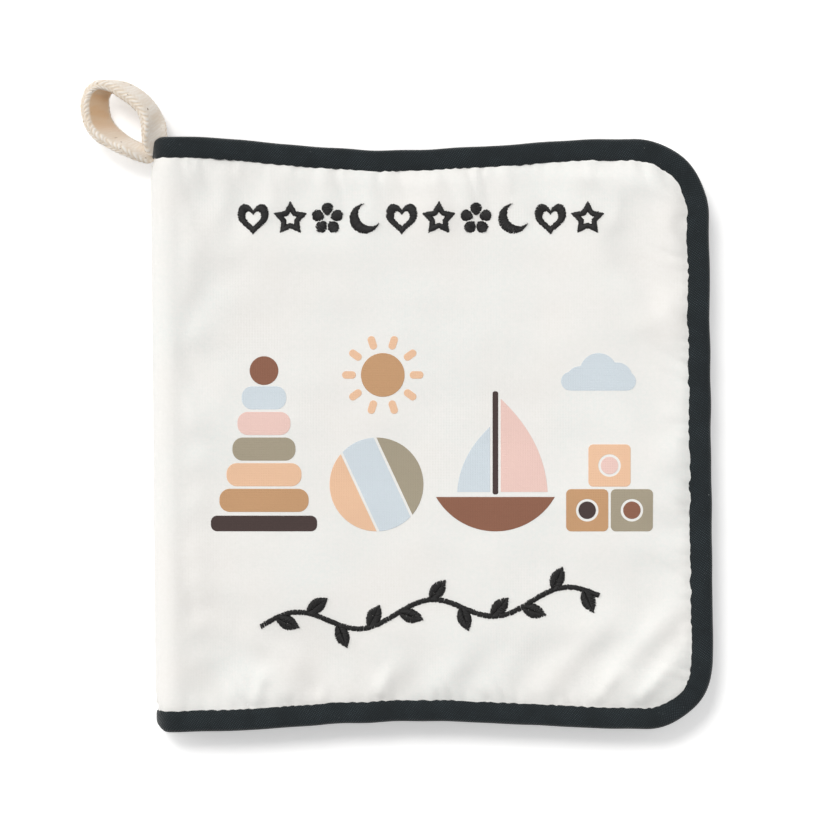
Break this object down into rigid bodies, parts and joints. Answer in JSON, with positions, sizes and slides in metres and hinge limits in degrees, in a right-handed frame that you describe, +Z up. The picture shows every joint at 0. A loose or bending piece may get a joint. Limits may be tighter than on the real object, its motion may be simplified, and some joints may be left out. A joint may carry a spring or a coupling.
{
  "type": "crinkle book",
  "caption": "Soft cloth baby book, closed: padded white covers bound with black tape, sewn-in page spread, cream hanging loop, printed and embroidered front.",
  "frame": {"origin": "middle of the back cover's flat underside, on the surface that the closed book lies on", "axes": "+X from the spine to the fore-edge, +Y to the head where the loop is, +Z up out of the front cover"},
  "size_m": [0.2009, 0.2127, 0.0158],
  "materials": {
    "cover_cloth": "plain-woven white cotton, soft, matt",
    "wadding": "loose polyester fibre",
    "crinkle_film": "thin crackling polyester film",
    "lining_cloth": "plain-woven white cotton, matt",
    "twill_tape": "black cotton twill tape, matt",
    "page_cloth": "plain-woven white cotton, soft, matt",
    "sewing_thread": "white sewing thread",
    "herringbone_tape": "cream cotton herringbone tape, matt",
    "satin_thread": "black embroidery thread, satin sheen",
    "ink_dark_brown": "textile ink on cotton",
    "ink_brown": "textile ink on cotton",
    "ink_tan": "textile ink on cotton",
    "ink_peach": "textile ink on cotton",
    "ink_khaki": "textile ink on cotton",
    "ink_pink": "textile ink on cotton",
    "ink_pale_blue": "textile ink on cotton"
  },
  "bodies": {
    "back_cover": {"back_cover_cloth": "cover_cloth", "back_cover_wadding": "wadding", "back_cover_film": "crinkle_film", "back_cover_lining": "lining_cloth", "back_cover_binding": "twill_tape", "spine_stitching": "sewing_thread", "hanging_loop": "herringbone_tape"},
    "pages": {"pages": "page_cloth", "page_binding": "twill_tape"},
    "front_cover": {"front_cover_cloth": "cover_cloth", "front_cover_wadding": "wadding", "front_cover_film": "crinkle_film", "front_cover_lining": "lining_cloth", "front_cover_binding": "twill_tape", "upper_embroidery": "satin_thread", "lower_embroidery": "satin_thread", "print_dark_brown": "ink_dark_brown", "print_brown": "ink_brown", "print_tan": "ink_tan", "print_peach": "ink_peach", "print_khaki": "ink_khaki", "print_pink": "ink_pink", "print_pale_blue": "ink_pale_blue"}
  },
  "joints": [
    {"name": "page_hinge", "type": "hinge", "parent": "back_cover", "child": "pages", "pos_m": [-0.08985, 0, 0.00765], "axis": [0, -1, 0], "range_deg": [0, 180]},
    {"name": "front_cover_hinge", "type": "hinge", "parent": "pages", "child": "front_cover", "pos_m": [-0.08985, 0, 0.00765], "axis": [0, -1, 0], "range_deg": [0, 180]}
  ]
}
